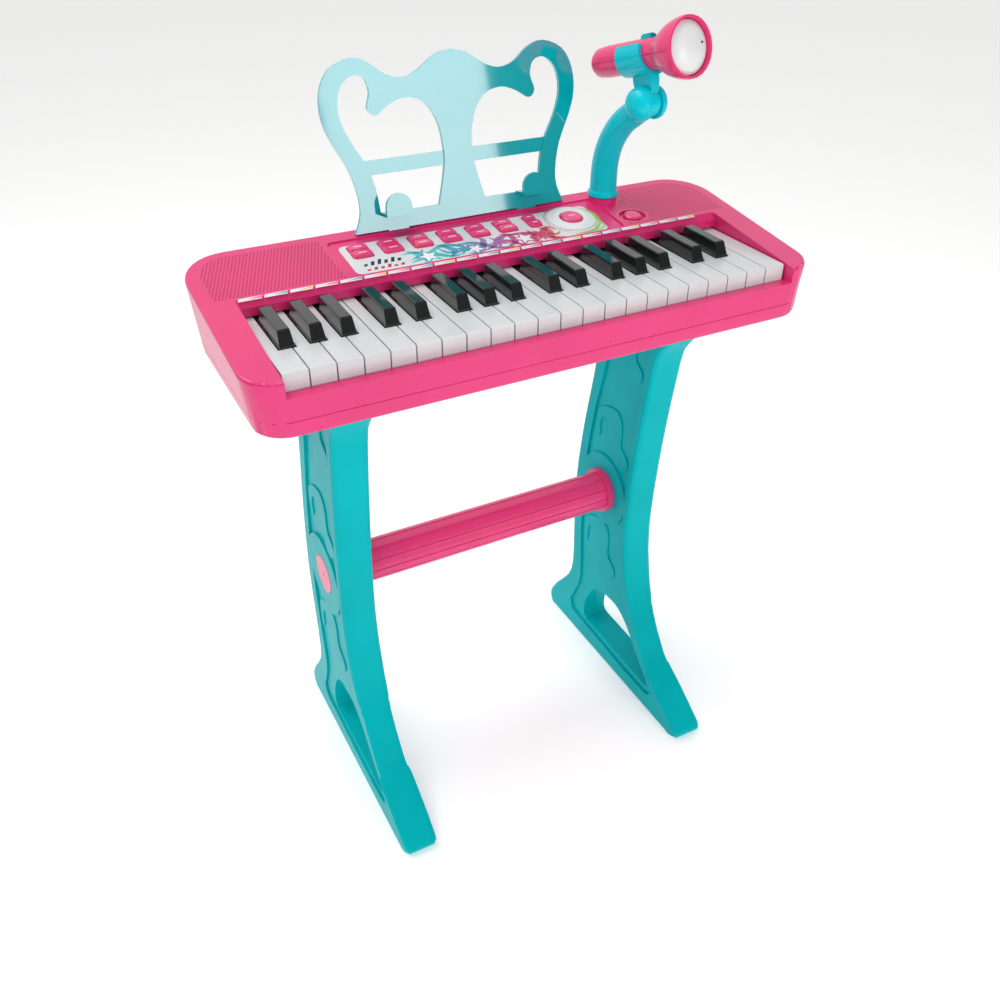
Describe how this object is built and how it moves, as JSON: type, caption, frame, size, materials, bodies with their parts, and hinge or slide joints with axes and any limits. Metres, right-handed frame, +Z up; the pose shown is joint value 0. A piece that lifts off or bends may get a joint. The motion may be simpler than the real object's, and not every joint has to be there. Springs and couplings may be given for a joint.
{
  "type": "toy electronic keyboard",
  "caption": "Small toy electronic keyboard on two splayed legs with a crossbar, a scrolled music rest and a microphone held on a curved arm.",
  "frame": {"origin": "on the floor, at the centre of the object's overall footprint", "axes": "+X to the player's right along the keys, +Y away from the player, +Z up"},
  "size_m": [0.428, 0.232, 0.6011],
  "materials": {
    "pink_case": "semi-gloss moulded pink plastic",
    "pink_bar": "semi-gloss moulded pink plastic, fluted",
    "pink_mic": "smooth glossy pink plastic",
    "pink_button": "smooth glossy pink plastic",
    "teal_stand": "semi-gloss moulded teal plastic",
    "teal_arm": "smooth glossy teal plastic",
    "teal_rest": "highly polished opaque teal plastic",
    "white_key": "smooth glossy white plastic",
    "black_key": "smooth glossy black plastic",
    "white_face": "smooth white plastic dome",
    "board": "green laminate with solder mask",
    "speaker": "dark paper cone with a steel basket"
  },
  "bodies": {
    "keyboard": {"lower_case": "pink_case", "upper_case": "pink_case", "left_leg": "teal_stand", "right_leg": "teal_stand", "crossbar": "pink_bar", "main_board": "board", "speaker": "speaker"},
    "arm": {"mic_arm": "teal_arm"},
    "clamp": {"mic_clamp": "teal_arm"},
    "microphone": {"mic_body": "pink_mic", "mic_face": "white_face"},
    "mic_switch": {"mic_switch": "teal_arm"},
    "rest": {"music_rest": "teal_rest"},
    "door": {"battery_door": "pink_case"},
    "rocker_1_body": {"rocker_1": "pink_button"},
    "rocker_2_body": {"rocker_2": "pink_button"},
    "rocker_3_body": {"rocker_3": "pink_button"},
    "rocker_4_body": {"rocker_4": "pink_button"},
    "rocker_5_body": {"rocker_5": "pink_button"},
    "rocker_6_body": {"rocker_6": "pink_button"},
    "rocker_7_body": {"rocker_7": "pink_button"},
    "play_button_body": {"play_button": "pink_button"},
    "power_button_body": {"power_button": "pink_button"},
    "white_key_01_body": {"white_key_01": "white_key"},
    "white_key_02_body": {"white_key_02": "white_key"},
    "white_key_03_body": {"white_key_03": "white_key"},
    "white_key_04_body": {"white_key_04": "white_key"},
    "white_key_05_body": {"white_key_05": "white_key"},
    "white_key_06_body": {"white_key_06": "white_key"},
    "white_key_07_body": {"white_key_07": "white_key"},
    "white_key_08_body": {"white_key_08": "white_key"},
    "white_key_09_body": {"white_key_09": "white_key"},
    "white_key_10_body": {"white_key_10": "white_key"},
    "white_key_11_body": {"white_key_11": "white_key"},
    "white_key_12_body": {"white_key_12": "white_key"},
    "white_key_13_body": {"white_key_13": "white_key"},
    "white_key_14_body": {"white_key_14": "white_key"},
    "white_key_15_body": {"white_key_15": "white_key"},
    "white_key_16_body": {"white_key_16": "white_key"},
    "white_key_17_body": {"white_key_17": "white_key"},
    "white_key_18_body": {"white_key_18": "white_key"},
    "white_key_19_body": {"white_key_19": "white_key"},
    "white_key_20_body": {"white_key_20": "white_key"},
    "white_key_21_body": {"white_key_21": "white_key"},
    "white_key_22_body": {"white_key_22": "white_key"},
    "black_key_01_body": {"black_key_01": "black_key"},
    "black_key_02_body": {"black_key_02": "black_key"},
    "black_key_03_body": {"black_key_03": "black_key"},
    "black_key_04_body": {"black_key_04": "black_key"},
    "black_key_05_body": {"black_key_05": "black_key"},
    "black_key_06_body": {"black_key_06": "black_key"},
    "black_key_07_body": {"black_key_07": "black_key"},
    "black_key_08_body": {"black_key_08": "black_key"},
    "black_key_09_body": {"black_key_09": "black_key"},
    "black_key_10_body": {"black_key_10": "black_key"},
    "black_key_11_body": {"black_key_11": "black_key"},
    "black_key_12_body": {"black_key_12": "black_key"},
    "black_key_13_body": {"black_key_13": "black_key"},
    "black_key_14_body": {"black_key_14": "black_key"},
    "black_key_15_body": {"black_key_15": "black_key"}
  },
  "joints": [
    {"name": "mic_arm_swivel", "type": "hinge", "parent": "keyboard", "child": "arm", "pos_m": [0.1194, 0.0624, 0.461], "axis": [0, 0, 1], "range_deg": [-45, 45]},
    {"name": "mic_tilt", "type": "hinge", "parent": "arm", "child": "clamp", "pos_m": [0.12497, 0.02006, 0.539], "axis": [0.9914, 0.1305, 0], "range_deg": [-18, 20]},
    {"name": "mic_lift_out", "type": "slide", "parent": "clamp", "child": "microphone", "axis": [0.1258, -0.9554, 0.2672], "range_m": [0, 0.035]},
    {"name": "mic_switch_slide", "type": "slide", "parent": "microphone", "child": "mic_switch", "axis": [0.1258, -0.9554, 0.2672], "range_m": [0, 0.004]},
    {"name": "music_rest_lift", "type": "slide", "parent": "keyboard", "child": "rest", "axis": [0, 0.1736, 0.9848], "range_m": [0, 0.012]},
    {"name": "battery_door_hinge", "type": "hinge", "parent": "keyboard", "child": "door", "pos_m": [0, 0.0702, 0.4022], "axis": [1, 0, 0], "range_deg": [0, 90]},
    {"name": "rocker_1_tip", "type": "hinge", "parent": "keyboard", "child": "rocker_1_body", "pos_m": [-0.0917, 0.04864, 0.44999], "axis": [1, 0, 0], "range_deg": [-3.5, 3.5], "stiffness_Nm_per_rad": 0.12},
    {"name": "rocker_2_tip", "type": "hinge", "parent": "keyboard", "child": "rocker_2_body", "pos_m": [-0.0686, 0.04864, 0.44999], "axis": [1, 0, 0], "range_deg": [-3.5, 3.5], "stiffness_Nm_per_rad": 0.12},
    {"name": "rocker_3_tip", "type": "hinge", "parent": "keyboard", "child": "rocker_3_body", "pos_m": [-0.0455, 0.04864, 0.44999], "axis": [1, 0, 0], "range_deg": [-3.5, 3.5], "stiffness_Nm_per_rad": 0.12},
    {"name": "rocker_4_tip", "type": "hinge", "parent": "keyboard", "child": "rocker_4_body", "pos_m": [-0.0224, 0.04864, 0.44999], "axis": [1, 0, 0], "range_deg": [-3.5, 3.5], "stiffness_Nm_per_rad": 0.12},
    {"name": "rocker_5_tip", "type": "hinge", "parent": "keyboard", "child": "rocker_5_body", "pos_m": [0.0007, 0.04864, 0.44999], "axis": [1, 0, 0], "range_deg": [-3.5, 3.5], "stiffness_Nm_per_rad": 0.12},
    {"name": "rocker_6_tip", "type": "hinge", "parent": "keyboard", "child": "rocker_6_body", "pos_m": [0.0238, 0.04864, 0.44999], "axis": [1, 0, 0], "range_deg": [-3.5, 3.5], "stiffness_Nm_per_rad": 0.12},
    {"name": "rocker_7_tip", "type": "hinge", "parent": "keyboard", "child": "rocker_7_body", "pos_m": [0.0469, 0.04864, 0.44999], "axis": [1, 0, 0], "range_deg": [-3.5, 3.5], "stiffness_Nm_per_rad": 0.12},
    {"name": "play_button_press", "type": "slide", "parent": "keyboard", "child": "play_button_body", "axis": [0, 0.1289, -0.9917], "range_m": [0, 0.0015], "stiffness_N_per_m": 600, "springref_m": -0.0005},
    {"name": "power_button_press", "type": "slide", "parent": "keyboard", "child": "power_button_body", "axis": [0, 0.1289, -0.9917], "range_m": [0, 0.0015], "stiffness_N_per_m": 600, "springref_m": -0.0005},
    {"name": "white_key_01_press", "type": "hinge", "parent": "keyboard", "child": "white_key_01_body", "pos_m": [0, 0.02, 0.43], "axis": [1, 0, 0], "range_deg": [0, 3], "stiffness_Nm_per_rad": 0.8, "springref_deg": -2.86},
    {"name": "white_key_02_press", "type": "hinge", "parent": "keyboard", "child": "white_key_02_body", "pos_m": [0, 0.02, 0.43], "axis": [1, 0, 0], "range_deg": [0, 3], "stiffness_Nm_per_rad": 0.8, "springref_deg": -2.86},
    {"name": "white_key_03_press", "type": "hinge", "parent": "keyboard", "child": "white_key_03_body", "pos_m": [0, 0.02, 0.43], "axis": [1, 0, 0], "range_deg": [0, 3], "stiffness_Nm_per_rad": 0.8, "springref_deg": -2.86},
    {"name": "white_key_04_press", "type": "hinge", "parent": "keyboard", "child": "white_key_04_body", "pos_m": [0, 0.02, 0.43], "axis": [1, 0, 0], "range_deg": [0, 3], "stiffness_Nm_per_rad": 0.8, "springref_deg": -2.86},
    {"name": "white_key_05_press", "type": "hinge", "parent": "keyboard", "child": "white_key_05_body", "pos_m": [0, 0.02, 0.43], "axis": [1, 0, 0], "range_deg": [0, 3], "stiffness_Nm_per_rad": 0.8, "springref_deg": -2.86},
    {"name": "white_key_06_press", "type": "hinge", "parent": "keyboard", "child": "white_key_06_body", "pos_m": [0, 0.02, 0.43], "axis": [1, 0, 0], "range_deg": [0, 3], "stiffness_Nm_per_rad": 0.8, "springref_deg": -2.86},
    {"name": "white_key_07_press", "type": "hinge", "parent": "keyboard", "child": "white_key_07_body", "pos_m": [0, 0.02, 0.43], "axis": [1, 0, 0], "range_deg": [0, 3], "stiffness_Nm_per_rad": 0.8, "springref_deg": -2.86},
    {"name": "white_key_08_press", "type": "hinge", "parent": "keyboard", "child": "white_key_08_body", "pos_m": [0, 0.02, 0.43], "axis": [1, 0, 0], "range_deg": [0, 3], "stiffness_Nm_per_rad": 0.8, "springref_deg": -2.86},
    {"name": "white_key_09_press", "type": "hinge", "parent": "keyboard", "child": "white_key_09_body", "pos_m": [0, 0.02, 0.43], "axis": [1, 0, 0], "range_deg": [0, 3], "stiffness_Nm_per_rad": 0.8, "springref_deg": -2.86},
    {"name": "white_key_10_press", "type": "hinge", "parent": "keyboard", "child": "white_key_10_body", "pos_m": [0, 0.02, 0.43], "axis": [1, 0, 0], "range_deg": [0, 3], "stiffness_Nm_per_rad": 0.8, "springref_deg": -2.86},
    {"name": "white_key_11_press", "type": "hinge", "parent": "keyboard", "child": "white_key_11_body", "pos_m": [0, 0.02, 0.43], "axis": [1, 0, 0], "range_deg": [0, 3], "stiffness_Nm_per_rad": 0.8, "springref_deg": -2.86},
    {"name": "white_key_12_press", "type": "hinge", "parent": "keyboard", "child": "white_key_12_body", "pos_m": [0, 0.02, 0.43], "axis": [1, 0, 0], "range_deg": [0, 3], "stiffness_Nm_per_rad": 0.8, "springref_deg": -2.86},
    {"name": "white_key_13_press", "type": "hinge", "parent": "keyboard", "child": "white_key_13_body", "pos_m": [0, 0.02, 0.43], "axis": [1, 0, 0], "range_deg": [0, 3], "stiffness_Nm_per_rad": 0.8, "springref_deg": -2.86},
    {"name": "white_key_14_press", "type": "hinge", "parent": "keyboard", "child": "white_key_14_body", "pos_m": [0, 0.02, 0.43], "axis": [1, 0, 0], "range_deg": [0, 3], "stiffness_Nm_per_rad": 0.8, "springref_deg": -2.86},
    {"name": "white_key_15_press", "type": "hinge", "parent": "keyboard", "child": "white_key_15_body", "pos_m": [0, 0.02, 0.43], "axis": [1, 0, 0], "range_deg": [0, 3], "stiffness_Nm_per_rad": 0.8, "springref_deg": -2.86},
    {"name": "white_key_16_press", "type": "hinge", "parent": "keyboard", "child": "white_key_16_body", "pos_m": [0, 0.02, 0.43], "axis": [1, 0, 0], "range_deg": [0, 3], "stiffness_Nm_per_rad": 0.8, "springref_deg": -2.86},
    {"name": "white_key_17_press", "type": "hinge", "parent": "keyboard", "child": "white_key_17_body", "pos_m": [0, 0.02, 0.43], "axis": [1, 0, 0], "range_deg": [0, 3], "stiffness_Nm_per_rad": 0.8, "springref_deg": -2.86},
    {"name": "white_key_18_press", "type": "hinge", "parent": "keyboard", "child": "white_key_18_body", "pos_m": [0, 0.02, 0.43], "axis": [1, 0, 0], "range_deg": [0, 3], "stiffness_Nm_per_rad": 0.8, "springref_deg": -2.86},
    {"name": "white_key_19_press", "type": "hinge", "parent": "keyboard", "child": "white_key_19_body", "pos_m": [0, 0.02, 0.43], "axis": [1, 0, 0], "range_deg": [0, 3], "stiffness_Nm_per_rad": 0.8, "springref_deg": -2.86},
    {"name": "white_key_20_press", "type": "hinge", "parent": "keyboard", "child": "white_key_20_body", "pos_m": [0, 0.02, 0.43], "axis": [1, 0, 0], "range_deg": [0, 3], "stiffness_Nm_per_rad": 0.8, "springref_deg": -2.86},
    {"name": "white_key_21_press", "type": "hinge", "parent": "keyboard", "child": "white_key_21_body", "pos_m": [0, 0.02, 0.43], "axis": [1, 0, 0], "range_deg": [0, 3], "stiffness_Nm_per_rad": 0.8, "springref_deg": -2.86},
    {"name": "white_key_22_press", "type": "hinge", "parent": "keyboard", "child": "white_key_22_body", "pos_m": [0, 0.02, 0.43], "axis": [1, 0, 0], "range_deg": [0, 3], "stiffness_Nm_per_rad": 0.8, "springref_deg": -2.86},
    {"name": "black_key_01_press", "type": "hinge", "parent": "keyboard", "child": "black_key_01_body", "pos_m": [0, 0.02, 0.43], "axis": [1, 0, 0], "range_deg": [0, 3], "stiffness_Nm_per_rad": 0.8, "springref_deg": -2.86},
    {"name": "black_key_02_press", "type": "hinge", "parent": "keyboard", "child": "black_key_02_body", "pos_m": [0, 0.02, 0.43], "axis": [1, 0, 0], "range_deg": [0, 3], "stiffness_Nm_per_rad": 0.8, "springref_deg": -2.86},
    {"name": "black_key_03_press", "type": "hinge", "parent": "keyboard", "child": "black_key_03_body", "pos_m": [0, 0.02, 0.43], "axis": [1, 0, 0], "range_deg": [0, 3], "stiffness_Nm_per_rad": 0.8, "springref_deg": -2.86},
    {"name": "black_key_04_press", "type": "hinge", "parent": "keyboard", "child": "black_key_04_body", "pos_m": [0, 0.02, 0.43], "axis": [1, 0, 0], "range_deg": [0, 3], "stiffness_Nm_per_rad": 0.8, "springref_deg": -2.86},
    {"name": "black_key_05_press", "type": "hinge", "parent": "keyboard", "child": "black_key_05_body", "pos_m": [0, 0.02, 0.43], "axis": [1, 0, 0], "range_deg": [0, 3], "stiffness_Nm_per_rad": 0.8, "springref_deg": -2.86},
    {"name": "black_key_06_press", "type": "hinge", "parent": "keyboard", "child": "black_key_06_body", "pos_m": [0, 0.02, 0.43], "axis": [1, 0, 0], "range_deg": [0, 3], "stiffness_Nm_per_rad": 0.8, "springref_deg": -2.86},
    {"name": "black_key_07_press", "type": "hinge", "parent": "keyboard", "child": "black_key_07_body", "pos_m": [0, 0.02, 0.43], "axis": [1, 0, 0], "range_deg": [0, 3], "stiffness_Nm_per_rad": 0.8, "springref_deg": -2.86},
    {"name": "black_key_08_press", "type": "hinge", "parent": "keyboard", "child": "black_key_08_body", "pos_m": [0, 0.02, 0.43], "axis": [1, 0, 0], "range_deg": [0, 3], "stiffness_Nm_per_rad": 0.8, "springref_deg": -2.86},
    {"name": "black_key_09_press", "type": "hinge", "parent": "keyboard", "child": "black_key_09_body", "pos_m": [0, 0.02, 0.43], "axis": [1, 0, 0], "range_deg": [0, 3], "stiffness_Nm_per_rad": 0.8, "springref_deg": -2.86},
    {"name": "black_key_10_press", "type": "hinge", "parent": "keyboard", "child": "black_key_10_body", "pos_m": [0, 0.02, 0.43], "axis": [1, 0, 0], "range_deg": [0, 3], "stiffness_Nm_per_rad": 0.8, "springref_deg": -2.86},
    {"name": "black_key_11_press", "type": "hinge", "parent": "keyboard", "child": "black_key_11_body", "pos_m": [0, 0.02, 0.43], "axis": [1, 0, 0], "range_deg": [0, 3], "stiffness_Nm_per_rad": 0.8, "springref_deg": -2.86},
    {"name": "black_key_12_press", "type": "hinge", "parent": "keyboard", "child": "black_key_12_body", "pos_m": [0, 0.02, 0.43], "axis": [1, 0, 0], "range_deg": [0, 3], "stiffness_Nm_per_rad": 0.8, "springref_deg": -2.86},
    {"name": "black_key_13_press", "type": "hinge", "parent": "keyboard", "child": "black_key_13_body", "pos_m": [0, 0.02, 0.43], "axis": [1, 0, 0], "range_deg": [0, 3], "stiffness_Nm_per_rad": 0.8, "springref_deg": -2.86},
    {"name": "black_key_14_press", "type": "hinge", "parent": "keyboard", "child": "black_key_14_body", "pos_m": [0, 0.02, 0.43], "axis": [1, 0, 0], "range_deg": [0, 3], "stiffness_Nm_per_rad": 0.8, "springref_deg": -2.86},
    {"name": "black_key_15_press", "type": "hinge", "parent": "keyboard", "child": "black_key_15_body", "pos_m": [0, 0.02, 0.43], "axis": [1, 0, 0], "range_deg": [0, 3], "stiffness_Nm_per_rad": 0.8, "springref_deg": -2.86}
  ]
}
